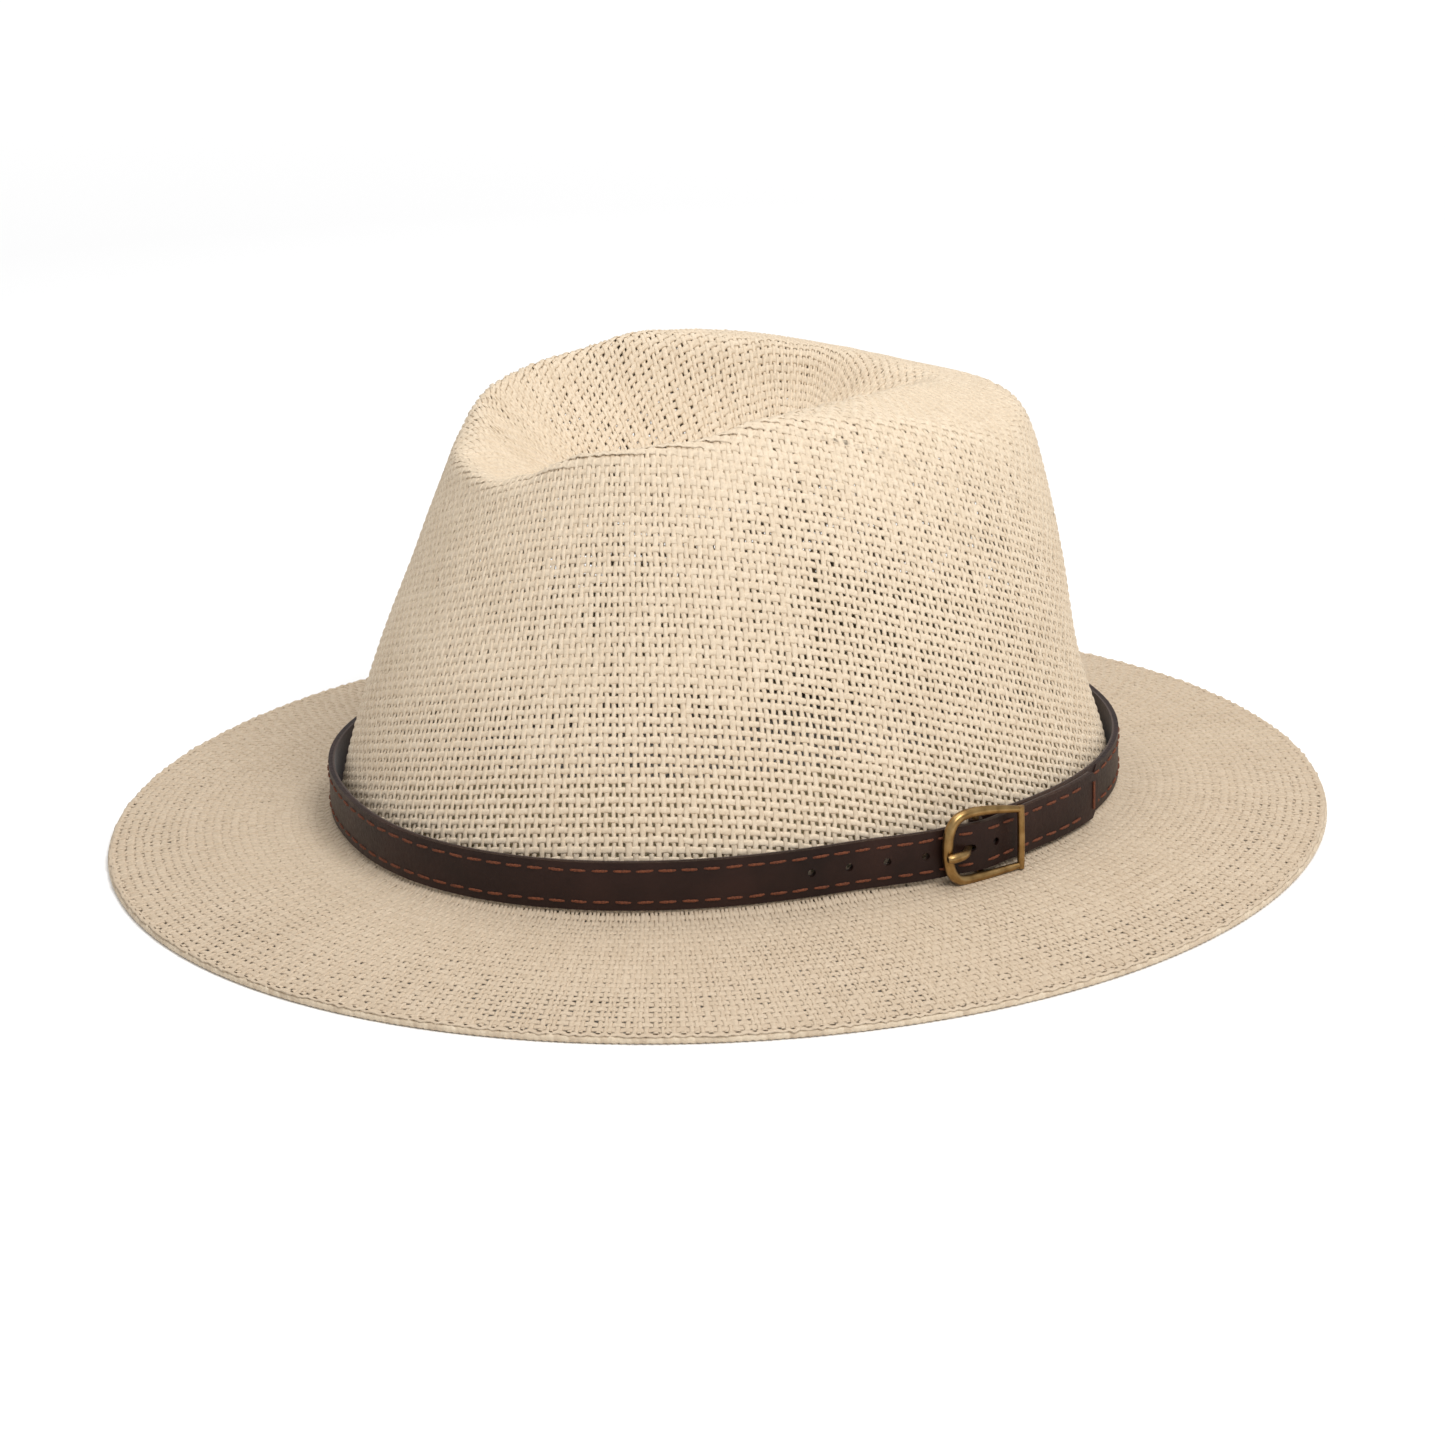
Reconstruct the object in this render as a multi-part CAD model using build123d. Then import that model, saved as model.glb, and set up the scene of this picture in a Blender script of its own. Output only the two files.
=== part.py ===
"""Woven paper-straw hat with a teardrop crown and a buckled leather hatband.

Millimetres.  +Z is up, -Y is the front of the hat, +X is the wearer's left.
The hat stands on the hem of its brim, so z = 0 is the table.  Pieces are built round
the crown's centre, then moved so that the middle of the brim is the origin.
"""
from build123d import *
import math
import os
from bisect import bisect

# ---- driving dimensions ------------------------------------------------------------
HEM_RADIUS = 1.0            # rolled hem round the brim's edge
HEM_BORE = 0.58             # hollow of the roll, filled by the edge cord
CORD_RADIUS = 0.5
CORD_SIDES = 12

BRIM_THICKNESS = 1.2
BRIM_EDGE_GAP = HEM_RADIUS + 0.1
BRIM_HALF_WIDTH = 148.5     # centre line of the hem, across
BRIM_FRONT = 161.9          # ... and from the crown's centre to the front
BRIM_BACK = 158.1
BREAK_Z = 6.6               # where the crown stands on the brim
BRIM_CROWNING = 0.6         # how far the brim bulges above a straight cone

HEAD_SQUARENESS = 2.2       # exponent of the superellipse at the head line
WEAVE_THICKNESS = 1.2

# height above the break, half width, reach to the front, reach to the back
CROWN_SECTIONS = (
    (-8.0, 84.5, 102.0, 102.0),
    (0.0, 84.5, 102.0, 102.0),
    (16.5, 83.2, 98.5, 99.0),
    (32.5, 79.5, 93.4, 94.0),
    (49.5, 75.0, 87.0, 91.2),
    (66.5, 69.5, 79.6, 89.0),
    (82.5, 64.0, 73.2, 86.0),
    (94.5, 59.0, 68.4, 83.0),
    (101.5, 55.5, 66.0, 79.5),
    (106.5, 52.5, 64.5, 75.0),
    (118.5, 46.0, 62.0, 62.0),
)

CREST_PEAK = 114.0          # highest point of the ridge, above the break
CREST_PEAK_Y = -9.0
CREST_FALL_FRONT = 17.0     # drop of the ridge to the front rim of the dent, mostly at its end
CREST_FRONT_REACH = 53.0
CREST_FALL_BACK = 0.0016    # drop to the back, per mm squared
DENT_CENTRE_Y = -20.0       # deepest point of the teardrop
DENT_REACH_FRONT = 44.0
DENT_REACH_BACK = 78.0
DENT_HALF_WIDTH = 48.0
DENT_DEPTH = 36.0
DENT_ROUNDNESS = 1.7        # 1 is a cone, 2 is a bowl
SHOULDER_FALL = 6.0         # how fast the top falls outside the teardrop

SWEATBAND_GAP = 0.15
SWEATBAND_THICKNESS = 1.0
SWEATBAND_FOOT = -1.1       # relative to the break
SWEATBAND_TOP = 33.5
TAPE_HALF_WIDTH = 7.0       # tape over the sweatband's join at the back
TAPE_THICKNESS = 0.5
THREAD = 0.8

STRAP_FIT = 0.3             # air between the crown's foot and the strap
STRAP_FOOT = 2.9            # above the break
STRAP_HEIGHT = 12.5
LINING_THICKNESS = 0.47
LEATHER_START = 0.5
STRAP_THICKNESS = 1.6
STITCH_LIFT = 0.03
STITCH_THICKNESS = 0.3
STITCH_ROW = 4.1            # rows above and below the strap's middle
BAR_PLACE = 35.5            # centre bar of the buckle, round from the wearer's left
TIP_REACH = 46.0            # strap tip past the centre bar
HOLE_PITCH = 9.8
PRONG_HOLE = 5.8            # hole in use, in front of the centre bar
HOLE_RADIUS = 1.0

BAR_RADIUS = 0.9
LOOP_BORE = 0.95
LOOP_RADIUS = 1.75
FRAME_BACK = 4.5            # back face of the buckle frame, out from the crown
FRAME_THICKNESS = 2.2
FRAME_FRONT_BAR = 11.0      # centre line of its front bar, from the centre bar
FRAME_BAR_WIDTH = 2.4
FRAME_TOP = 10.6            # the frame sits high on the strap, clear of the brim
FRAME_BOTTOM = -8.9
FRAME_KEEPER = -10.7        # centre line of the keeper bar
KEEPER_TOP = 7.8
KEEPER_BOTTOM = -8.0
STRAP_AIR = 0.3             # between the frame's arms and the strap's edges
KEEPER_RADIUS = 0.85
PRONG_RADIUS = 0.75
PRONG_SWING = 8.0           # degrees until the prong binds in its hole
FIT = 0.05                  # running clearance on the bar


def oval_point(angle, half_width, front, back, squareness):
    """Point on an oval that may reach further to the front than to the back."""
    c = math.cos(angle)
    s = math.sin(angle)
    reach = back if s > 0 else front
    x = half_width * math.copysign(abs(c) ** (2 / squareness), c)
    y = reach * math.copysign(abs(s) ** (2 / squareness), s)
    return x, y


def oval_wire(z, half_width, front, back, squareness=HEAD_SQUARENESS, count=40):
    points = []
    for i in range(count):
        x, y = oval_point(2 * math.pi * (i + 0.5) / count, half_width, front, back, squareness)
        points.append((x, y, z))
    return Wire([Edge.make_spline([Vector(*p) for p in points], periodic=True)])


def oval_disk(z, height, half_width, front, back, squareness=HEAD_SQUARENESS):
    face = Face(oval_wire(z, half_width, front, back, squareness))
    return Solid.extrude(face, Vector(0, 0, height))


# ---- crown -------------------------------------------------------------------------
def crown_loft(inset):
    wires = []
    for height, width, front, back in CROWN_SECTIONS:
        wires.append(oval_wire(BREAK_Z + height, width - inset, front - inset, back - inset))
    return Solid.make_loft(wires)


def crest_height(y):
    """Height of the ridge above the break: a hump that falls to both ends."""
    if y > CREST_PEAK_Y:
        return CREST_PEAK - CREST_FALL_BACK * (y - CREST_PEAK_Y) ** 2
    t = min(1.0, (CREST_PEAK_Y - y) / CREST_FRONT_REACH)
    return CREST_PEAK - CREST_FALL_FRONT * t ** 4


def top_height(x, y):
    """Top of the crown: teardrop dent inside its ridge, soft shoulder outside."""
    along = y - DENT_CENTRE_Y
    if along < 0:
        t = along / DENT_REACH_FRONT
        width = DENT_HALF_WIDTH
    else:
        t = along / DENT_REACH_BACK
        width = DENT_HALF_WIDTH * max(0.45, 1 - 0.5 * t ** 1.3)
    rho = math.hypot(x / width, t)
    if rho < 1:
        return crest_height(y) - DENT_DEPTH * (1 - rho ** DENT_ROUNDNESS)
    return crest_height(y) - SHOULDER_FALL * (rho - 1) ** 1.5


def above_top(drop):
    """Everything over the crown's top surface, lowered by `drop`."""
    step = 5
    grid = []
    for y in range(-110, 111, step):
        grid.append([Vector(x, y, BREAK_Z + top_height(x, y) - drop) for x in range(-90, 91, step)])
    surface = Face.make_surface_from_array_of_points(grid, tol=0.3)
    return Solid.extrude(surface, Vector(0, 0, 90))


def slab(z0, z1):
    return Pos(0, 0, (z0 + z1) / 2) * Box(400, 400, z1 - z0)


def crown_shell():
    outer = crown_loft(0) - above_top(0)
    inner = crown_loft(WEAVE_THICKNESS) - above_top(1.4 * WEAVE_THICKNESS)
    return (outer - inner) - slab(BREAK_Z - 20, BREAK_Z)


def liner(inset, thickness, z0, z1):
    """Thin ring that follows the inside of the crown's wall."""
    ring = crown_loft(inset) - crown_loft(inset + thickness)
    return ring & slab(BREAK_Z + z0, BREAK_Z + z1)


# ---- brim --------------------------------------------------------------------------
def brim_cone(drop):
    """Solid under the brim's upper surface, lowered by `drop`; runs past the edge."""
    _, width, front, back = CROWN_SECTIONS[1]
    edge_z = HEM_RADIUS + BRIM_THICKNESS / 2
    wires = []
    for t in (0.0, 0.35, 0.7, 1.0, 1.2):
        bulge = 4 * BRIM_CROWNING * t * (1 - t)
        z = BREAK_Z + (edge_z - BREAK_Z) * t + bulge - drop
        half = width * (1 - t) + (BRIM_HALF_WIDTH - BRIM_EDGE_GAP) * t
        to_front = front * (1 - t) + (BRIM_FRONT - BRIM_EDGE_GAP) * t
        to_back = back * (1 - t) + (BRIM_BACK - BRIM_EDGE_GAP) * t
        squareness = HEAD_SQUARENESS * (1 - t) + 2.0 * t
        wires.append(oval_wire(z, half, to_front, to_back, squareness))
    return Solid.make_loft(wires)


def brim_plate():
    """Thin brim between the crown's foot and the hem."""
    gap = BRIM_EDGE_GAP
    inside_hem = oval_disk(-20, 60, BRIM_HALF_WIDTH - gap, BRIM_FRONT - gap, BRIM_BACK - gap, 2.0)
    _, width, front, back = CROWN_SECTIONS[1]
    hole = oval_disk(-20, 60, width - WEAVE_THICKNESS, front - WEAVE_THICKNESS,
                     back - WEAVE_THICKNESS)
    plate = brim_cone(0) - brim_cone(BRIM_THICKNESS) - hole
    return plate - (Cylinder(230, 50) - inside_hem)


def brim_ring(profile):
    """Rod of the given section along the brim's edge."""
    path = oval_wire(HEM_RADIUS, BRIM_HALF_WIDTH, BRIM_FRONT, BRIM_BACK, 2.0, 48)
    start = path.position_at(0)
    section = Plane(origin=start, z_dir=path.tangent_at(0)) * profile
    return sweep(section, path=path)


# ---- strap -------------------------------------------------------------------------
def head_line():
    """Dense outline of the crown's foot, counter-clockwise, with its running length."""
    _, width, front, back = CROWN_SECTIONS[1]
    points = []
    count = 2880
    for i in range(count + 1):
        angle = 2 * math.pi * i / count
        points.append(oval_point(angle, width + STRAP_FIT, front + STRAP_FIT, back + STRAP_FIT,
                                 HEAD_SQUARENESS))
    lengths = [0.0]
    for a, b in zip(points, points[1:]):
        lengths.append(lengths[-1] + math.dist(a, b))
    return points, lengths


HEAD_POINTS, HEAD_LENGTHS = head_line()
GIRTH = HEAD_LENGTHS[-1]


def around(place, out):
    """Point `out` mm off the crown's foot, `place` mm past the centre bar."""
    s = (place + BAR_PLACE) % GIRTH
    i = min(bisect(HEAD_LENGTHS, s), len(HEAD_POINTS) - 1)
    (x0, y0), (x1, y1) = HEAD_POINTS[i - 1], HEAD_POINTS[i]
    span = HEAD_LENGTHS[i] - HEAD_LENGTHS[i - 1]
    f = (s - HEAD_LENGTHS[i - 1]) / span
    nx, ny = (y1 - y0) / span, (x0 - x1) / span
    return Vector(x0 + (x1 - x0) * f + nx * out, y0 + (y1 - y0) * f + ny * out, 0)


# place past the second crossing of the bar, lift of the strap off the crown's foot
STRAP_LIFTS = ((-34.0, 0.0), (-11.0, 2.4), (0.0, 3.75), (10.7, 2.4), (20.0, 1.75), (60.0, 1.75))


def strap_lift(place):
    """The free end climbs over the bar, then lies on the fixed end."""
    past = place - GIRTH
    if past <= STRAP_LIFTS[0][0]:
        return 0.0
    for (a, lift_a), (b, lift_b) in zip(STRAP_LIFTS, STRAP_LIFTS[1:]):
        if past <= b:
            t = (past - a) / (b - a)
            return lift_a + (lift_b - lift_a) * t * t * (3 - 2 * t)
    return STRAP_LIFTS[-1][1]


def strap_places(start, end):
    """Stations along the strap, closer together where it climbs."""
    places = []
    climb = GIRTH + STRAP_LIFTS[0][0]
    plain = max(2, round((min(end, climb) - start) / 9))
    for i in range(plain):
        places.append(start + (min(end, climb) - start) * i / plain)
    fine = max(2, round((end - climb) / 2.5))
    for i in range(fine + 1):
        places.append(climb + (end - climb) * i / fine)
    return places


def strap_layer(inside, outside, start, end, z0, z1):
    """One layer of the strap between two distances from its inner face."""
    places = strap_places(start, end)
    near = [around(p, strap_lift(p) + inside) for p in places]
    far = [around(p, strap_lift(p) + outside) for p in places]
    edges = [
        Edge.make_spline(near),
        Edge.make_line(near[-1], far[-1]),
        Edge.make_spline(far[::-1]),
        Edge.make_line(far[0], near[0]),
    ]
    z_mid = BREAK_Z + STRAP_FOOT + STRAP_HEIGHT / 2
    face = Face(Wire(edges)).moved(Location((0, 0, z_mid + z0)))
    return Solid.extrude(face, Vector(0, 0, z1 - z0))


BAR_ORIGIN = around(0, 0) + Vector(0, 0, BREAK_Z + STRAP_FOOT + STRAP_HEIGHT / 2)
TOWARDS_FRONT = (around(-1, 0) - around(1, 0)).normalized()
# local x runs along the strap towards the front, y out from the crown, z up
BUCKLE = Plane(origin=BAR_ORIGIN, x_dir=TOWARDS_FRONT, z_dir=(0, 0, 1))


def upright(radius, z0, z1, x, y):
    """Round rod parallel to the bar, in buckle coordinates."""
    return Pos(x, y, (z0 + z1) / 2) * Cylinder(radius, z1 - z0)


def prong_rod(radius):
    """Prong without its eye: up through the strap, then level over the front bar."""
    level = FRAME_BACK + FRAME_THICKNESS + FIT + PRONG_RADIUS
    tip = FRAME_FRONT_BAR + FRAME_BAR_WIDTH / 2
    path = FilletPolyline((0, LOOP_RADIUS, 0), (8.4, level, 0), (tip, level, 0), radius=3)
    section = Plane(origin=path @ 0, z_dir=path % 0) * Circle(radius)
    return sweep(section, path=path) + Pos(tip, level, 0) * Sphere(radius)


def prong_hole():
    """The hole in use, worn oval by the prong's swing."""
    hole = None
    for turn in (0.0, PRONG_SWING / 2, PRONG_SWING):
        rod = prong_rod(PRONG_RADIUS + 0.2)
        swung = Pos(0, LOOP_RADIUS, 0) * Rot(0, 0, turn) * Pos(0, -LOOP_RADIUS, 0) * rod
        hole = swung if hole is None else hole + swung
    return hole


def punched_holes():
    """Round holes of the free end, other than the one in use."""
    holes = []
    for step in (-1, 1, 2, 3, 4):
        place = GIRTH - PRONG_HOLE - step * HOLE_PITCH
        middle = around(place, strap_lift(place) + STRAP_THICKNESS / 2)
        out = (around(place, 1) - around(place, 0)).normalized()
        z_mid = BREAK_Z + STRAP_FOOT + STRAP_HEIGHT / 2
        plane = Plane(origin=middle + Vector(0, 0, z_mid), z_dir=out)
        holes.append(plane * Cylinder(HOLE_RADIUS, STRAP_THICKNESS + 1.2))
    return holes


def tip_corners():
    """Wedges that chamfer the strap's tip."""
    end = GIRTH + TIP_REACH
    middle = around(end, strap_lift(end) + STRAP_THICKNESS / 2)
    along = (around(end, 0) - around(end - 1, 0)).normalized()
    plane = Plane(origin=middle + Vector(0, 0, BAR_ORIGIN.Z), x_dir=along, z_dir=(0, 0, 1))
    cuts = []
    for side in (-1, 1):
        corner = Pos(0, 0, side * STRAP_HEIGHT / 2) * Rot(0, 45, 0) * Box(4.2, 2.6, 4.2)
        cuts.append(plane * corner)
    return cuts


def strap_leather():
    half = STRAP_HEIGHT / 2
    strap = strap_layer(LEATHER_START, STRAP_THICKNESS, 1.3, GIRTH + TIP_REACH, -half, half)
    loop = upright(LOOP_RADIUS, -half, half, 0, LOOP_RADIUS)
    strap = strap + BUCKLE * loop
    strap = strap - BUCKLE * upright(LOOP_BORE, -half - 1, half + 1, 0, LOOP_RADIUS)
    strap = strap - BUCKLE * (Pos(0, LOOP_RADIUS, 0) * Box(2 * LOOP_RADIUS + 0.6, 2 * LOOP_RADIUS, 2.7))
    return cut_all(strap, [BUCKLE * prong_hole()] + punched_holes() + tip_corners())


def strap_lining():
    half = STRAP_HEIGHT / 2
    lining = strap_layer(0, LINING_THICKNESS, 2.4, GIRTH + TIP_REACH, -half, half)
    return cut_all(lining, [BUCKLE * prong_hole()] + punched_holes() + tip_corners())


def cut_all(body, cutters):
    for cutter in cutters:
        body = body - cutter
    return body


def stitch_row(side):
    """Thread channel filled by one long row of stitches, on the strap's face."""
    inside = STRAP_THICKNESS + STITCH_LIFT
    middle = side * STITCH_ROW
    return strap_layer(inside, inside + STITCH_THICKNESS, TIP_REACH + 2, GIRTH + TIP_REACH - 3.2,
                       middle - THREAD / 2, middle + THREAD / 2)


def tip_stitches():
    """Short row that closes the two long ones across the tip."""
    place = GIRTH + TIP_REACH - 2.6
    lift = strap_lift(place) + STRAP_THICKNESS + STITCH_LIFT + STITCH_THICKNESS / 2
    along = (around(place, 0) - around(place - 1, 0)).normalized()
    plane = Plane(origin=around(place, lift) + Vector(0, 0, BAR_ORIGIN.Z), x_dir=along,
                  z_dir=(0, 0, 1))
    return plane * Box(THREAD, STITCH_THICKNESS, 2 * STITCH_ROW - THREAD)


# ---- buckle ------------------------------------------------------------------------
def frame_outline(front_x, front_top, front_bottom, back_x, back_top, back_bottom, corner):
    """Horseshoe outline in the buckle's x-z plane, rounded at its front corners."""
    corners = [(back_x, back_top), (front_x, front_top), (front_x, front_bottom),
               (back_x, back_bottom)]
    face = Plane.XZ * Polygon(*corners, align=None)
    return fillet([v for v in face.vertices() if v.X > 0], corner)


def buckle_frame():
    front = FRAME_FRONT_BAR + FRAME_BAR_WIDTH / 2
    edge = STRAP_HEIGHT / 2 + STRAP_AIR
    outside = frame_outline(front, FRAME_TOP, FRAME_BOTTOM,
                            FRAME_KEEPER, KEEPER_TOP, KEEPER_BOTTOM, 3.6)
    inside = frame_outline(front - FRAME_BAR_WIDTH, FRAME_TOP - 2.2, -edge - 0.05,
                           FRAME_KEEPER - 3, edge + 0.05, -edge, 2.2)
    frame = extrude(outside - inside, amount=FRAME_THICKNESS, dir=(0, 1, 0))
    frame = Pos(0, FRAME_BACK, 0) * frame
    keeper_y = FRAME_BACK + FRAME_THICKNESS - KEEPER_RADIUS + 0.35
    frame = frame + upright(KEEPER_RADIUS, KEEPER_BOTTOM - 0.2, KEEPER_TOP + 0.2,
                            FRAME_KEEPER, keeper_y)
    for low, high in ((-edge - 0.85, -edge), (7.6, 8.8)):
        depth = FRAME_BACK + 0.5 - 1.0
        frame = frame + Pos(0, 1.0 + depth / 2, (low + high) / 2) * Box(3.0, depth, high - low)
    return frame - upright(BAR_RADIUS + FIT, -12, 12, 0, LOOP_RADIUS)


def buckle_prong():
    eye = upright(LOOP_RADIUS - 0.05, -1.0, 1.0, 0, LOOP_RADIUS)
    return eye + prong_rod(PRONG_RADIUS) - upright(BAR_RADIUS + FIT, -2, 2, 0, LOOP_RADIUS)


def save(name, shape):
    shape = shape.moved(Location((0, (BRIM_FRONT - BRIM_BACK) / 2, 0)))
    export_step(shape, f"parts/{name}.step")
    box = shape.bounding_box()
    print(f"{name:24s} {shape.volume:10.1f} mm3  {box.size.X:.1f} x {box.size.Y:.1f} x {box.size.Z:.1f}")


os.makedirs("parts", exist_ok=True)

save("crown_shell", crown_shell())
save("brim_plate", brim_plate())
save("brim_edge_hem", brim_ring(Circle(HEM_RADIUS)) - brim_ring(Circle(HEM_BORE)))
save("brim_edge_cord", brim_ring(RegularPolygon(CORD_RADIUS, CORD_SIDES)))

BAND_INSET = WEAVE_THICKNESS + SWEATBAND_GAP
save("sweatband", liner(BAND_INSET, SWEATBAND_THICKNESS, SWEATBAND_FOOT, SWEATBAND_TOP))
THREAD_INSET = BAND_INSET + SWEATBAND_THICKNESS + STITCH_LIFT
JOIN = Pos(0, 100, 0) * Box(2 * TAPE_HALF_WIDTH, 60, 200)
thread = liner(THREAD_INSET, STITCH_THICKNESS, 1.6, 1.6 + THREAD)
save("sweatband_stitching", thread - Pos(0, 100, 0) * Box(2 * TAPE_HALF_WIDTH + 1, 60, 200))
save("sweatband_join_tape", liner(THREAD_INSET, TAPE_THICKNESS, 0.5, SWEATBAND_TOP - 0.5) & JOIN)

save("strap_leather", strap_leather())
save("strap_lining", strap_lining())
save("strap_stitch_upper", stitch_row(1))
save("strap_stitch_lower", stitch_row(-1))
save("strap_stitch_tip", tip_stitches())

save("buckle_frame", BUCKLE * buckle_frame())
save("buckle_bar", BUCKLE * upright(BAR_RADIUS, -7.4, 8.9, 0, LOOP_RADIUS))
save("buckle_prong", BUCKLE * buckle_prong())

prong_axis = BUCKLE.from_local_coords(Vector(0, LOOP_RADIUS, 0))
print("prong axis, before centring", tuple(round(v, 3) for v in prong_axis))
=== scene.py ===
import math
import random
from collections import namedtuple

import bmesh
import bpy
import numpy as np
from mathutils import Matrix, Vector
from mathutils.bvhtree import BVHTree


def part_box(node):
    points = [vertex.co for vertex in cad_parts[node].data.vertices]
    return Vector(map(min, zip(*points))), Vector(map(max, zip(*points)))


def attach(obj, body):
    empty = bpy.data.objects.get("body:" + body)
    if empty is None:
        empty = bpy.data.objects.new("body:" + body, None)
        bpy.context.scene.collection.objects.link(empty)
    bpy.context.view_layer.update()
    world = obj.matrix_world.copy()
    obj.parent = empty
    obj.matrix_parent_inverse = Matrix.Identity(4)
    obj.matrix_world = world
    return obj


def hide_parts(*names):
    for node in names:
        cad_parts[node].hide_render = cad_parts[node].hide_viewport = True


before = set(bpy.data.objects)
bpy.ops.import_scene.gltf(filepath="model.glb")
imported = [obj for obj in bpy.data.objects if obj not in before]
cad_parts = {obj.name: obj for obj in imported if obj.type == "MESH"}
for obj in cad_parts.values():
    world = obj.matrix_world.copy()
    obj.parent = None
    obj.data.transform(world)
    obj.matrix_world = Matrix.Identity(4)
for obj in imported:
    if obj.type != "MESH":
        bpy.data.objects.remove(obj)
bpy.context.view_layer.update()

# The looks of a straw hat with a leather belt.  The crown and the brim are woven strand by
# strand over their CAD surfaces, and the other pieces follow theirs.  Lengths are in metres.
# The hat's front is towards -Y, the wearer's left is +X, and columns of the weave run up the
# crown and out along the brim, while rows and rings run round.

rng = np.random.default_rng(7)
random.seed(7)
MM = 0.001
DOWN = Vector((0, 0, -1))

# ---- driving dimensions --------------------------------------------------------------
CENTRE = Vector((0.0, 0.0019, 0.0))     # crown's centre in plan
FOOT_Z = 0.0066                         # where the crown stands on the brim
WEAVE_FOOT_Z = FOOT_Z + 0.5 * MM        # height of the outline that both weaves start from
PROBE_STEP = 1.0 * MM                   # between points measured on the crown

CROWN_COLUMNS = 318
CROWN_ROWS = 104
CROWN_SPLIT = 52                        # the lower pieces end at this row
CROWN_ROW_PITCH = 2.45 * MM
CROWN_TILT = 40 * MM                    # the rows of the crown's weave lie askew by this much
CROWN_TILT_ANGLE = math.radians(35)
CROWN_COLUMN_WIDTH = 1.28 * MM
CROWN_ROW_WIDTH = 1.62 * MM
CROWN_FILL = 0.86                       # widest strand, as a share of the strands' spacing
CROWN_INSET = 0.4 * MM                  # keeps the weave clear of the strap
DENT_TIGHTER = 0.24

BRIM_COLUMNS = 560
BRIM_RINGS = 27
BRIM_COLUMN_WIDTH = 1.45 * MM
BRIM_RING_WIDTH = 2.25 * MM
BRIM_FILL = 0.93
BRIM_INSET = 0.45 * MM
BRIM_START = 0.1 * MM                   # first ring, out from the crown's foot
BRIM_END_GAP = 1.3 * MM                 # last ring, in from the hem's outer edge
BREAK_RISE = 2.2 * MM                   # brim curls up into the crown's foot
BREAK_REACH = 6.0 * MM

STRAND_THICKNESS = 0.5 * MM
WEAVE_WAVE = 0.2 * MM                   # how far a strand goes over and under
SECTION = ((-0.5, 0.0), (-0.3, 0.5), (0.3, 0.5), (0.5, 0.0), (0.3, -0.5), (-0.3, -0.5))

HEM_RADIUS = 1.0 * MM
HEM_WHIPS = 528                         # turns of straw round the hem
RINGS_PER_WHIP = 4

STRAP_MIDDLE_Z = 0.01575
STITCH_ROW = 4.1 * MM                   # rows above and below the strap's middle
STITCH_PITCH = 5.5 * MM
STITCH_LENGTH = 4.3 * MM
STITCH_RISE = 0.26 * MM                 # how far a stitch's middle stands above its ends
STITCH_SINK = 0.16 * MM                 # how far its ends lie in the leather
THREAD_RADIUS = 0.37 * MM
TIP_GAP = (0.0405, 0.0505)              # no stitches between these, past the buckle's bar

SWEATBAND_COLUMNS = 240
SWEATBAND_LEVELS = 9
CLOTH_THICKNESS = 0.8 * MM

Weave = namedtuple("Weave", "grid fill inset tighter slot material node")


# ---- reading the frame ---------------------------------------------------------------
def tree_of(node):
    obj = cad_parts[node]
    points = [obj.matrix_world @ v.co for v in obj.data.vertices]
    return BVHTree.FromPolygons(points, [tuple(p.vertices) for p in obj.data.polygons])


crown_tree = tree_of("crown_shell")
brim_tree = tree_of("brim_plate")
hem_tree = tree_of("brim_edge_hem")
strap_tree = tree_of("strap_leather")
band_tree = tree_of("sweatband")


def distances(xyz):
    """Distance of each point along a polyline."""
    return np.concatenate([[0], np.cumsum(np.linalg.norm(np.diff(xyz, axis=0), axis=1))])


def ring_path(tree, z, count, start=0.0):
    """Outer outline of a closed body at one height, evenly spaced, counter-clockwise.
    Returns its points and its whole length."""
    probes = 1440
    dense = []
    for i in range(probes):
        angle = start + 2 * math.pi * i / probes
        out = Vector((math.cos(angle), math.sin(angle), 0))
        hit = tree.ray_cast(CENTRE + out * 0.25 + Vector((0, 0, z)), -out)[0]
        dense.append(hit)
    dense.append(dense[0])
    xyz = np.array([tuple(p) for p in dense])
    lengths = distances(xyz)
    places = np.arange(count) * lengths[-1] / count
    return np.stack([np.interp(places, lengths, xyz[:, k]) for k in range(3)], axis=1), lengths[-1]


def outward(path):
    """Level direction out of a counter-clockwise outline, at each of its points."""
    along = np.roll(path, -1, axis=0) - np.roll(path, 1, axis=0)
    normal = np.stack([along[:, 1], -along[:, 0], 0 * along[:, 0]], axis=1)
    return normal / np.linalg.norm(normal, axis=1, keepdims=True)


# ---- visible pieces ------------------------------------------------------------------
def smooth(mesh):
    mesh.polygons.foreach_set("use_smooth", [True] * len(mesh.polygons))


def piece(name, mesh, material, body, node):
    """Visible object that rides on a body and stands for a CAD node."""
    mesh.materials.clear()
    mesh.materials.append(material)
    obj = bpy.data.objects.new(name, mesh)
    bpy.context.scene.collection.objects.link(obj)
    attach(obj, body)
    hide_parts(node)
    return obj


def mesh_of(name, points, faces):
    mesh = bpy.data.meshes.new(name)
    mesh.from_pydata([tuple(p) for p in points], [], faces)
    smooth(mesh)
    return mesh


def tube_faces(rings, sides, base=0, closed=False):
    """Quads between neighbouring rings of points; closed joins the last ring to the first."""
    faces = []
    for i in range(rings if closed else rings - 1):
        here = base + i * sides
        there = base + (i + 1) % rings * sides
        for k in range(sides):
            n = (k + 1) % sides
            faces.append((here + k, here + n, there + n, there + k))
    return faces


def add_tone(mesh, values):
    """A tone for each point, which the straw material reads."""
    attribute = mesh.attributes.new("tone", "FLOAT", "POINT")
    attribute.data.foreach_set("value", values.astype(np.float32))


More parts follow.
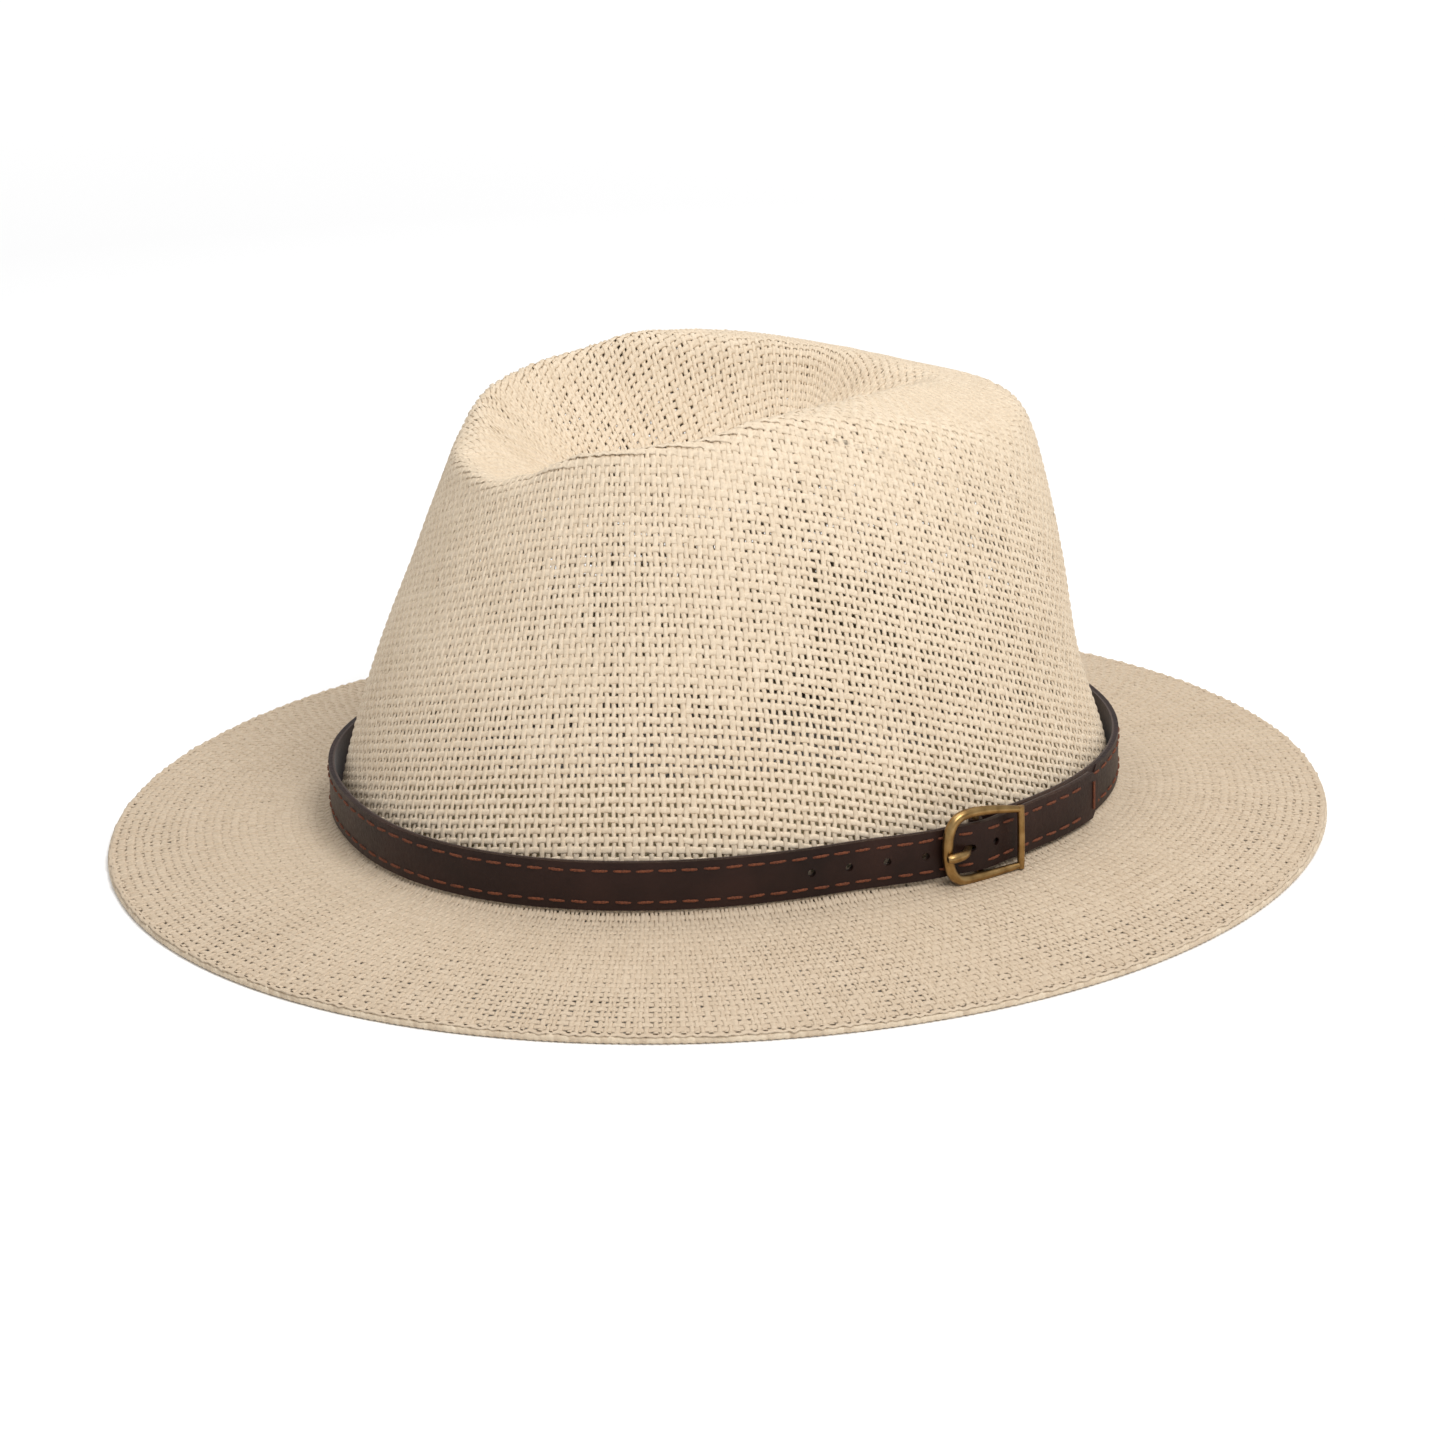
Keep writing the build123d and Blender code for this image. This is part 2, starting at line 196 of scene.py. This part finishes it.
# ---- where the strands cross ---------------------------------------------------------
def resample(points, places):
    """Points at given distances along a smoothed polyline; nan outside it."""
    xyz = np.array(points)
    for _ in range(3):
        xyz[1:-1] = 0.25 * xyz[:-2] + 0.5 * xyz[1:-1] + 0.25 * xyz[2:]
    lengths = distances(xyz)
    found = np.stack([np.interp(places, lengths, xyz[:, k]) for k in range(3)], axis=1)
    found[(places < 0) | (places > lengths[-1])] = np.nan
    return found


def crown_column(base, out):
    """Up the wall from the crown's foot, over the ridge and down to the dent's middle line."""
    base = Vector(base)
    out = Vector(out)
    probe_start = 0.03
    ridge_jump = 1.6 * MM               # a longer step in means that the wall has ended
    points = []
    depth = 0.0
    z = FOOT_Z + 0.3 * MM
    while z < 0.13:
        start = Vector((base.x, base.y, z)) + out * probe_start
        hit = crown_tree.ray_cast(start, -out)[0]
        if hit is None:
            break
        reached = (hit - start).length - probe_start
        if points and reached - depth > ridge_jump:
            break
        depth = reached
        points.append(tuple(hit))
        z += PROBE_STEP
    end = abs(base.x / out.x) if abs(out.x) > 0.02 else 0.075
    end = min(end, 0.085) + 2 * MM
    depth += 0.8 * MM
    while depth < end:
        spot = base - out * depth
        hit = crown_tree.ray_cast(Vector((spot.x, spot.y, 0.2)), DOWN)[0]
        if hit is not None:
            points.append(tuple(hit))
        depth += PROBE_STEP
    return points


def crown_grid():
    """Crossings of the crown's strands, by column and row; nan past a column's end."""
    foot, _ = ring_path(crown_tree, WEAVE_FOOT_Z, CROWN_COLUMNS)
    out = outward(foot)
    grid = np.full((CROWN_COLUMNS, CROWN_ROWS, 3), np.nan)
    for c in range(CROWN_COLUMNS):
        angle = math.atan2(foot[c, 1] - CENTRE.y, foot[c, 0])
        askew = CROWN_TILT * (math.cos(angle + CROWN_TILT_ANGLE) - 1)
        places = np.arange(CROWN_ROWS) * CROWN_ROW_PITCH + askew
        grid[c] = resample(crown_column(foot[c], out[c]), places)
    return grid


def brim_grid():
    """Crossings of the brim's strands, by column and ring."""
    probe_start = 0.15
    foot, _ = ring_path(crown_tree, WEAVE_FOOT_Z, BRIM_COLUMNS)
    out = outward(foot)
    grid = np.full((BRIM_COLUMNS, BRIM_RINGS, 3), np.nan)
    for c in range(BRIM_COLUMNS):
        base = Vector(foot[c])
        side = Vector(out[c])
        start = Vector((base.x, base.y, HEM_RADIUS)) + side * probe_start
        hem = hem_tree.ray_cast(start, -side)[0]
        reach = probe_start - (hem - start).length - BRIM_END_GAP
        for k in range(BRIM_RINGS):
            d = BRIM_START + (reach - BRIM_START) * k / (BRIM_RINGS - 1)
            spot = base + side * d
            hit = brim_tree.ray_cast(Vector((spot.x, spot.y, 0.05)), DOWN)[0]
            z = hit.z if hit else 1.6 * MM
            z += BREAK_RISE * max(0.0, 1 - d / BREAK_REACH) ** 2
            grid[c, k] = (spot.x, spot.y, z)
    return grid


# ---- strands -------------------------------------------------------------------------
def unit(v):
    return v / np.linalg.norm(v, axis=-1, keepdims=True)


def one_sided(steps, grid, axis):
    """Fills steps that lack a neighbour on one side with the step to the other side."""
    for shift in (1, -1):
        missing = np.isnan(steps) & ~np.isnan(grid)
        step = (np.roll(grid, -shift, axis=axis) - grid) * shift
        steps = np.where(missing, step, steps)
    return steps


def grid_directions(grid):
    """Normal, step across the columns and step along them, at each crossing."""
    across = np.roll(grid, -1, axis=0) - np.roll(grid, 1, axis=0)
    along = np.full_like(grid, np.nan)
    along[:, 1:-1] = grid[:, 2:] - grid[:, :-2]
    along[:, 0] = grid[:, 1] - grid[:, 0]
    along[:, -1] = grid[:, -1] - grid[:, -2]
    along = one_sided(along, grid, 1)
    across = one_sided(across, grid, 0)
    return unit(np.cross(across, along)), across, along


def spacing(grid, axis):
    """Distance to the next strand on either side, whichever is less."""
    step = np.linalg.norm(np.roll(grid, -1, axis=axis) - grid, axis=2)
    return np.fmin(step, np.roll(step, 1, axis=axis))


def patches(c, j):
    """Places where the weave is a little tighter or looser."""
    a = np.sin(0.11 * c + 1.4 * np.sin(0.13 * j))
    b = np.sin(0.29 * j + 1.1 * np.sin(0.07 * c + 1.0))
    return 1 + 0.035 * a + 0.035 * b


def scatter(shape):
    return rng.standard_normal(shape).clip(-2, 2)


def strand_sections(weave, down_columns, width):
    """The corners of each strand's section at each crossing.  A weave's tighter widens its
    strands where the surface faces up, as in the crown's dent."""
    grid = weave.grid
    normal, across, along = grid_directions(grid)
    shape = grid.shape[:2]
    parity = np.fromfunction(lambda c, j: 1 - 2 * ((c + j) % 2), shape)
    over = parity if down_columns else -parity
    side = unit(across) if down_columns else unit(along)
    gap = spacing(grid, 0 if down_columns else 1)
    wide = np.fmin(width, weave.fill * gap) * (1 + 0.12 * scatter(shape))
    wide = wide * (1 + 0.07 * scatter((shape[0], 1) if down_columns else (1, shape[1])))
    wide = wide * np.fromfunction(patches, shape)
    wide = wide * (1 + weave.tighter * np.clip((np.abs(normal[..., 2]) - 0.3) / 0.25, 0, 1))
    drift = np.fmin(0.10 * gap, 0.14 * MM) * scatter(shape)
    wave = np.fmin(WEAVE_WAVE, 0.22 * gap)
    centre = grid + normal * (over * wave - weave.inset)[..., None] + side * drift[..., None]
    corners = []
    for a, b in SECTION:
        corners.append(centre + side * (a * wide)[..., None] + normal * (b * STRAND_THICKNESS))
    return np.stack(corners, axis=2)


def strand_quads(sections, down_columns):
    """Quads between each strand's neighbouring sections, where both lie on the weave."""
    good = ~np.isnan(sections).any(axis=(2, 3))
    sides = len(SECTION)
    index = np.arange(good.size * sides).reshape(sections.shape[:3])
    if down_columns:
        both = good[:, :-1] & good[:, 1:]
        here = index[:, :-1][both]
        there = index[:, 1:][both]
    else:
        both = good & np.roll(good, -1, axis=0)
        here = index[both]
        there = np.roll(index, -1, axis=0)[both]
    quads = []
    for k in range(sides):
        n = (k + 1) % sides
        quad = (here[:, k], there[:, k], there[:, n], here[:, n])
        if down_columns:
            quad = quad[::-1]
        quads.append(np.stack(quad, axis=1))
    return np.concatenate(quads)


def quad_mesh(name, points, corners):
    """Mesh from arrays; every four corners make a face."""
    mesh = bpy.data.meshes.new(name)
    mesh.vertices.add(len(points))
    mesh.vertices.foreach_set("co", points.astype(np.float32).ravel())
    mesh.loops.add(len(corners))
    mesh.loops.foreach_set("vertex_index", corners.astype(np.int32))
    mesh.polygons.add(len(corners) // 4)
    mesh.polygons.foreach_set("loop_start", np.arange(0, len(corners), 4, dtype=np.int32))
    mesh.update(calc_edges=True)
    mesh.validate()
    smooth(mesh)
    return mesh


def strands(name, weave, down_columns, width, first, last):
    """One piece with all strands that run one way through rows first to last of a weave."""
    sections = strand_sections(weave, down_columns, width)[:, first:last]
    columns, rows, sides = sections.shape[:3]
    used, corners = np.unique(strand_quads(sections, down_columns), return_inverse=True)
    corners = corners.reshape(-1)
    mesh = quad_mesh(name, sections.reshape(-1, 3)[used], corners)

    cell = used // sides
    strand = cell // rows if down_columns else cell % rows
    strand_tone = rng.random(sum(weave.grid.shape[:2]))[strand]
    cell_tone = rng.random(cell.max() + 1)[cell]
    add_tone(mesh, 0.25 + 0.28 * strand_tone + 0.4 * cell_tone)

    u = (cell // rows * sides + used % sides) / (columns * sides)
    v = (cell % rows) / rows
    uv = np.stack([u, v], axis=1)[corners]
    layer = mesh.uv_layers.new(name="OFBake")
    layer.data.foreach_set("uv", uv.astype(np.float32).ravel())
    return piece(name, mesh, weave.material, "hat", weave.node)


# ---- materials -----------------------------------------------------------------------
def new_material(name, roughness, metallic=0.0):
    material = bpy.data.materials.new(name)
    material.use_nodes = True
    tree = material.node_tree
    shader = tree.nodes["Principled BSDF"]
    shader.inputs["Roughness"].default_value = roughness
    shader.inputs["Metallic"].default_value = metallic
    return material, tree, shader


def noise(tree, scale, detail):
    place = tree.nodes.new("ShaderNodeTexCoord")
    texture = tree.nodes.new("ShaderNodeTexNoise")
    texture.inputs["Scale"].default_value = scale
    texture.inputs["Detail"].default_value = detail
    tree.links.new(place.outputs["Object"], texture.inputs["Vector"])
    return texture.outputs["Fac"]


def ramp(tree, source, colours, places):
    node = tree.nodes.new("ShaderNodeValToRGB")
    while len(node.color_ramp.elements) < len(colours):
        node.color_ramp.elements.new(0.5)
    for element, place, colour in zip(node.color_ramp.elements, places, colours):
        element.position = place
        element.color = (*colour, 1.0)
    tree.links.new(source, node.inputs["Fac"])
    return node.outputs["Color"]


def bump(tree, shader, height, strength, distance):
    node = tree.nodes.new("ShaderNodeBump")
    node.inputs["Strength"].default_value = strength
    node.inputs["Distance"].default_value = distance
    tree.links.new(height, node.inputs["Height"])
    tree.links.new(node.outputs["Normal"], shader.inputs["Normal"])


def mix(tree, a, b, factor, blend="MIX"):
    node = tree.nodes.new("ShaderNodeMix")
    node.data_type = "RGBA"
    node.blend_type = blend
    node.inputs["Factor"].default_value = factor
    tree.links.new(a, node.inputs["A"])
    tree.links.new(b, node.inputs["B"])
    return node.outputs["Result"]


def straw(name, dark, middle, light):
    """Twisted paper straw: every strand has its own tone, with fine fibres and faint blotches."""
    material, tree, shader = new_material(name, 0.68)
    tone = tree.nodes.new("ShaderNodeAttribute")
    tone.attribute_name = "tone"
    strand_colour = ramp(tree, tone.outputs["Fac"], (dark, middle, light), (0.0, 0.45, 1.0))
    blotches = ramp(tree, noise(tree, 55.0, 3.0), (dark, light), (0.3, 0.7))
    fibres = noise(tree, 1500.0, 5.0)
    shade = ramp(tree, fibres, ((0.78, 0.75, 0.72), (1.0, 1.0, 1.0)), (0.3, 0.62))
    colour = mix(tree, strand_colour, blotches, 0.15)
    colour = mix(tree, colour, shade, 0.6, "MULTIPLY")
    tree.links.new(colour, shader.inputs["Base Color"])
    bump(tree, shader, fibres, 0.5, 0.0002)
    shader.inputs["Specular IOR Level"].default_value = 0.3
    return material


def cloth(name, light, dark, scale, fuzz=0.15):
    material, tree, shader = new_material(name, 0.85)
    threads = noise(tree, scale, 2.0)
    colour = ramp(tree, threads, (dark, light), (0.35, 0.62))
    tree.links.new(colour, shader.inputs["Base Color"])
    bump(tree, shader, threads, 0.5, 0.0002)
    shader.inputs["Sheen Weight"].default_value = fuzz
    return material


def leather():
    material, tree, shader = new_material("hatband_leather", 0.42)
    grain = noise(tree, 900.0, 5.0)
    clouds = noise(tree, 60.0, 4.0)
    browns = ((0.011, 0.0038, 0.0026), (0.018, 0.0062, 0.0042), (0.029, 0.0105, 0.0072))
    colour = ramp(tree, clouds, browns, (0.3, 0.5, 0.75))
    tree.links.new(colour, shader.inputs["Base Color"])
    rough = tree.nodes.new("ShaderNodeMapRange")
    rough.inputs["To Min"].default_value = 0.36
    rough.inputs["To Max"].default_value = 0.60
    tree.links.new(grain, rough.inputs["Value"])
    tree.links.new(rough.outputs["Result"], shader.inputs["Roughness"])
    bump(tree, shader, grain, 0.35, 0.0003)
    shader.inputs["Specular IOR Level"].default_value = 0.24
    return material


def brass():
    material, tree, shader = new_material("antique_brass", 0.34, 1.0)
    wear = noise(tree, 320.0, 5.0)
    golds = ((0.22, 0.13, 0.048), (0.33, 0.205, 0.08), (0.44, 0.29, 0.125))
    colour = ramp(tree, wear, golds, (0.3, 0.5, 0.72))
    tree.links.new(colour, shader.inputs["Base Color"])
    bump(tree, shader, wear, 0.08, 0.0001)
    return material


crown_straw = straw("crown_straw", (0.60, 0.48, 0.345), (0.70, 0.575, 0.425), (0.77, 0.65, 0.50))
# The brim's straw is the crown's straw painted darker: painted shade on the brim, not a different
# straw.
brim_straw = straw("brim_straw", (0.49, 0.38, 0.27), (0.55, 0.44, 0.32), (0.61, 0.50, 0.375))
hem_straw = straw("hem_straw", (0.54, 0.43, 0.31), (0.62, 0.51, 0.375), (0.68, 0.57, 0.43))
leather_skin = leather()
brass_metal = brass()
sweat_cloth = cloth("sweatband_twill", (0.74, 0.66, 0.44), (0.58, 0.50, 0.32), 1400.0)
tape_cloth = cloth("join_tape_cloth", (0.70, 0.63, 0.46), (0.58, 0.51, 0.35), 1800.0)
lining_felt = cloth("strap_lining_suede", (0.055, 0.030, 0.020), (0.030, 0.016, 0.011), 1500.0)
pale_thread = cloth("pale_thread", (0.80, 0.74, 0.60), (0.62, 0.55, 0.42), 2500.0)
rust_thread = cloth("rust_thread", (0.17, 0.045, 0.014), (0.08, 0.020, 0.007), 2500.0, 0.0)


# ---- woven straw ---------------------------------------------------------------------
def woven_crown():
    weave = Weave(crown_grid(), CROWN_FILL, CROWN_INSET, DENT_TIGHTER,
                  "crown_straw", crown_straw, "crown_shell")
    for part, first, last in (("lower", 0, CROWN_SPLIT), ("upper", CROWN_SPLIT - 1, CROWN_ROWS)):
        strands(f"crown_{part}_columns", weave, True, CROWN_COLUMN_WIDTH, first, last)
        strands(f"crown_{part}_rows", weave, False, CROWN_ROW_WIDTH, first, last)


def woven_brim():
    weave = Weave(brim_grid(), BRIM_FILL, BRIM_INSET, 0.0, "brim_straw", brim_straw, "brim_plate")
    strands("brim_columns", weave, True, BRIM_COLUMN_WIDTH, 0, BRIM_RINGS)
    strands("brim_rings", weave, False, BRIM_RING_WIDTH, 0, BRIM_RINGS)


def whipped_hem():
    """Rolled edge wrapped in slanting turns of straw."""
    rings = HEM_WHIPS * RINGS_PER_WHIP
    sides = 10
    path, _ = ring_path(hem_tree, HEM_RADIUS, rings)
    out = outward(path)
    middle = path - out * HEM_RADIUS
    middle[:, 2] = HEM_RADIUS
    points = []
    for i in range(rings):
        for k in range(sides):
            around = 2 * math.pi * k / sides
            turn = math.pi * i / RINGS_PER_WHIP + around / 2
            radius = HEM_RADIUS * (0.80 + 0.26 * abs(math.sin(turn)))
            spot = middle[i] + out[i] * radius * math.cos(around)
            points.append((spot[0], spot[1], spot[2] + radius * math.sin(around) * 0.98))
    faces = [(a, d, c, b) for a, b, c, d in tube_faces(rings, sides, closed=True)]
    mesh = mesh_of("brim_hem_whipping", points, faces)
    piece("brim_hem_whipping", mesh, hem_straw, "hat", "brim_edge_hem")
    add_tone(mesh, np.repeat(rng.random(HEM_WHIPS), RINGS_PER_WHIP * sides))


# ---- belt and sweatband --------------------------------------------------------------
def softened(name, node, body, material, width):
    """Copy of a CAD piece with its edges rounded over."""
    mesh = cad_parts[node].data.copy()
    mesh.name = name
    work = bmesh.new()
    work.from_mesh(mesh)
    bmesh.ops.remove_doubles(work, verts=work.verts, dist=2e-6)
    bmesh.ops.dissolve_limit(work, angle_limit=math.radians(1.0), verts=work.verts,
                             edges=work.edges)
    work.to_mesh(mesh)
    work.free()
    smooth(mesh)
    obj = piece(name, mesh, material, body, node)
    bevel = obj.modifiers.new("edges", "BEVEL")
    bevel.width = width
    bevel.segments = 3
    bevel.limit_method = "ANGLE"
    bevel.angle_limit = math.radians(35)
    weighted = obj.modifiers.new("shading", "WEIGHTED_NORMAL")
    weighted.keep_sharp = False


def bar_middle():
    low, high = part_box("buckle_bar")
    return (np.array(low) + np.array(high)) / 2


def stitch_points(path, out, step, middle, z):
    """Rings of points along one stitch of twisted thread.  It dips into the leather at both
    ends."""
    sides = 8
    rings = 11
    length = STITCH_LENGTH * random.uniform(0.93, 1.05)
    tilt = random.uniform(-0.12, 0.12) * MM
    points = []
    for i in range(rings):
        t = 2 * i / (rings - 1) - 1
        place = int(round((middle + t * length / 2) / step)) % len(path)
        radius = THREAD_RADIUS * (1 - 0.5 * t ** 4)
        lift = STITCH_RISE * (1 - t ** 4) - STITCH_SINK
        for k in range(sides):
            around = 2 * math.pi * k / sides
            size = radius * (1 + 0.16 * math.cos(2 * (around - 5.0 * t)))
            spot = path[place] + out[place] * (lift + size * 0.85 * math.cos(around))
            points.append((spot[0], spot[1], z + tilt * t + size * math.sin(around)))
    return points, rings, sides


def stitches(name, z, node):
    """A row of single stitches round the strap, counted from the buckle's bar."""
    bar = bar_middle()
    bar_angle = math.atan2(bar[1] - CENTRE.y, bar[0])
    path, length = ring_path(strap_tree, z, 4800, bar_angle)
    out = outward(path)
    step = length / len(path)
    points = []
    faces = []
    for s in range(int(length / STITCH_PITCH)):
        middle = (s + 0.5) * STITCH_PITCH
        if TIP_GAP[0] < middle < TIP_GAP[1]:
            continue
        base = len(points)
        found, rings, sides = stitch_points(path, out, step, middle, z)
        points += found
        faces += tube_faces(rings, sides, base)
        faces.append(tuple(range(base, base + sides))[::-1])
        faces.append(tuple(range(len(points) - sides, len(points))))
    piece(name, mesh_of(name, points, faces), rust_thread, "band", node)


def sweatband():
    """Cloth band that lies inside the crown."""
    low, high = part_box("sweatband")
    height = high[2] - low[2]
    edge = 0.3 * MM                     # the CAD band is probed this far from its edges
    rings = []
    for level in range(SWEATBAND_LEVELS):
        z = low[2] + height * level / (SWEATBAND_LEVELS - 1)
        probe = CENTRE + Vector((0, 0, min(max(z, low[2] + edge), high[2] - edge)))
        ring = []
        for i in range(SWEATBAND_COLUMNS):
            angle = 2 * math.pi * i / SWEATBAND_COLUMNS
            side = Vector((math.cos(angle), math.sin(angle), 0))
            spot = band_tree.ray_cast(probe, side)[0] + side * 0.5 * MM
            ring.append((spot.x, spot.y, z))
        rings.append(ring)
    points = [point for ring in rings for point in ring]
    mesh = mesh_of("sweatband_cloth", points, tube_faces(SWEATBAND_LEVELS, SWEATBAND_COLUMNS))
    obj = piece("sweatband_cloth", mesh, sweat_cloth, "hat", "sweatband")
    thick = obj.modifiers.new("thickness", "SOLIDIFY")
    thick.thickness = CLOTH_THICKNESS
    thick.offset = 0


# ---- buckle --------------------------------------------------------------------------
# Rods run through points of (front, out, up, radius) in mm, from the middle of the centre bar.
HORSESHOE = ((-10.7, 4.4, 7.4, 0.85), (-6.0, 4.1, 8.5, 1.05), (2.0, 3.9, 9.8, 1.25),
             (8.6, 3.8, 9.6, 1.35), (11.4, 3.8, 5.4, 1.4), (11.4, 3.8, -2.6, 1.4),
             (8.6, 3.8, -7.6, 1.35), (2.0, 3.9, -7.9, 1.2), (-6.0, 4.1, -7.7, 1.0),
             (-10.7, 4.4, -7.4, 0.85))
KEEPER = ((-10.7, 4.5, 8.3, 0.95), (-10.7, 4.7, 4.0, 0.95), (-10.7, 4.7, -4.0, 0.95),
          (-10.7, 4.5, -8.2, 0.95))
TOP_LUG = ((0.0, 0.2, 8.3, 0.9), (0.0, 2.0, 8.6, 0.9), (0.0, 3.8, 9.0, 0.9))
FOOT_LUG = ((0.0, 0.2, -6.9, 0.8), (0.0, 2.0, -7.2, 0.8), (0.0, 3.8, -7.6, 0.8))
PRONG = ((0.0, 0.0, 0.0, 0.8), (3.4, 1.4, 0.0, 0.85), (6.8, 5.6, 0.0, 1.1),
         (9.0, 6.3, 0.0, 1.25), (12.2, 6.3, 0.0, 1.25), (13.0, 6.1, 0.0, 0.8))


def buckle_axes():
    """The centre bar's middle, and the directions out of the crown and to the front there."""
    bar = bar_middle()
    foot, _ = ring_path(crown_tree, WEAVE_FOOT_Z, 720)
    nearest = int(np.argmin(np.linalg.norm(foot[:, :2] - bar[:2], axis=1)))
    out = outward(foot)[nearest]
    return bar, out, np.array([out[1], -out[0], 0.0])


def rods(name, runs, body, node):
    """Round brass rods, one for each run of points."""
    bar, out, front = buckle_axes()
    curve = bpy.data.curves.new(name, "CURVE")
    curve.dimensions = "3D"
    curve.bevel_depth = 1.0 * MM
    curve.bevel_resolution = 5
    curve.use_fill_caps = True
    curve.resolution_u = 10
    for points in runs:
        spline = curve.splines.new("NURBS")
        spline.points.add(len(points) - 1)
        for point, (forward, outside, up, radius) in zip(spline.points, points):
            spot = front * forward * MM + out * outside * MM
            spot = spot + np.array([bar[0], bar[1], STRAP_MIDDLE_Z + up * MM])
            point.co = (*spot, 1.0)
            point.radius = radius
        spline.order_u = 3
        spline.use_endpoint_u = True
    source = bpy.data.objects.new(name + "_path", curve)
    mesh = bpy.data.meshes.new_from_object(source)
    mesh.name = name
    bpy.data.objects.remove(source)
    smooth(mesh)
    piece(name, mesh, brass_metal, body, node)


def dress_cad_nodes():
    """Materials for the nodes whose CAD shape is also what is seen."""
    looks = {"brim_edge_cord": hem_straw, "sweatband_stitching": pale_thread,
             "sweatband_join_tape": tape_cloth, "strap_lining": lining_felt,
             "strap_stitch_tip": rust_thread, "buckle_bar": brass_metal}
    for node, material in looks.items():
        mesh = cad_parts[node].data
        mesh.materials.clear()
        mesh.materials.append(material)


woven_crown()
woven_brim()
whipped_hem()
softened("hatband_strap", "strap_leather", "band", leather_skin, 0.3 * MM)
rods("buckle_frame_brass", (HORSESHOE, KEEPER, TOP_LUG, FOOT_LUG), "band", "buckle_frame")
rods("buckle_prong_brass", (PRONG,), "prong", "buckle_prong")
stitches("stitches_upper", STRAP_MIDDLE_Z + STITCH_ROW, "strap_stitch_upper")
stitches("stitches_lower", STRAP_MIDDLE_Z - STITCH_ROW, "strap_stitch_lower")
sweatband()
dress_cad_nodes()

# ---- floor, light and camera ---------------------------------------------------------
AZIMUTH = math.radians(70.0)
ELEVATION = math.radians(20.4)
ROLL = math.radians(-1.5)
DISTANCE = 1.2
TARGET = Vector((0, 0.0019, 0.0094))
RIGHT = Vector((math.cos(AZIMUTH), math.sin(AZIMUTH), 0))
TOWARDS_CAMERA = Vector((math.sin(AZIMUTH) * math.cos(ELEVATION),
                         -math.cos(AZIMUTH) * math.cos(ELEVATION), math.sin(ELEVATION)))


def studio_floor():
    """Pale floor that glows faintly far from the hat, so that it has no visible end."""
    bpy.ops.mesh.primitive_plane_add(size=8, location=(0, 0, 0))
    floor = bpy.context.object
    floor.name = "floor"
    material, tree, shader = new_material("studio_floor", 0.9)
    shader.inputs["Base Color"].default_value = (0.93, 0.93, 0.93, 1)
    shader.inputs["Emission Color"].default_value = (1, 1, 1, 1)
    place = tree.nodes.new("ShaderNodeTexCoord")
    distance = tree.nodes.new("ShaderNodeVectorMath")
    distance.operation = "LENGTH"
    glow = tree.nodes.new("ShaderNodeMapRange")
    glow.inputs["From Min"].default_value = 0.7
    glow.inputs["From Max"].default_value = 2.2
    glow.inputs["To Max"].default_value = 0.6
    tree.links.new(place.outputs["Object"], distance.inputs[0])
    tree.links.new(distance.outputs["Value"], glow.inputs["Value"])
    tree.links.new(glow.outputs["Result"], shader.inputs["Emission Strength"])
    floor.data.materials.append(material)


def area_light(name, place, size, power, aim):
    data = bpy.data.lights.new(name, "AREA")
    data.shape = "DISK"
    data.size = size
    data.energy = power
    obj = bpy.data.objects.new(name, data)
    bpy.context.scene.collection.objects.link(obj)
    obj.location = place
    obj.rotation_euler = (Vector(aim) - Vector(place)).to_track_quat("-Z", "Y").to_euler()


def studio_light():
    """A large soft light from the camera's right, a wider one overhead, and an even sky."""
    level = Vector((TOWARDS_CAMERA.x, TOWARDS_CAMERA.y, 0)).normalized()
    area_light("key", level * 1.0 + RIGHT * 0.7 + Vector((0, 0, 1.5)), 0.9, 22.0, (0, 0, 0.04))
    area_light("overhead", Vector((-0.2, 0.1, 1.9)), 1.6, 14.0, (0, 0, 0))
    world = bpy.data.worlds.new("studio")
    world.use_nodes = True
    sky = world.node_tree.nodes["Background"]
    sky.inputs["Color"].default_value = (1, 1, 1, 1)
    sky.inputs["Strength"].default_value = 0.55
    bpy.context.scene.world = world
    bpy.context.scene.view_settings.view_transform = "Standard"


def photo_camera():
    lens = bpy.data.cameras.new("photo_camera")
    lens.lens = 113.6
    lens.sensor_width = 36
    lens.shift_x = -0.0024
    lens.shift_y = 0.0398
    lens.clip_end = 50
    camera = bpy.data.objects.new("photo_camera", lens)
    bpy.context.scene.collection.objects.link(camera)
    camera.location = TARGET + TOWARDS_CAMERA * DISTANCE
    camera.rotation_euler = (-TOWARDS_CAMERA).to_track_quat("-Z", "Y").to_euler()
    camera.rotation_euler.rotate_axis("Z", ROLL)
    bpy.context.scene.camera = camera


studio_floor()
studio_light()
photo_camera()
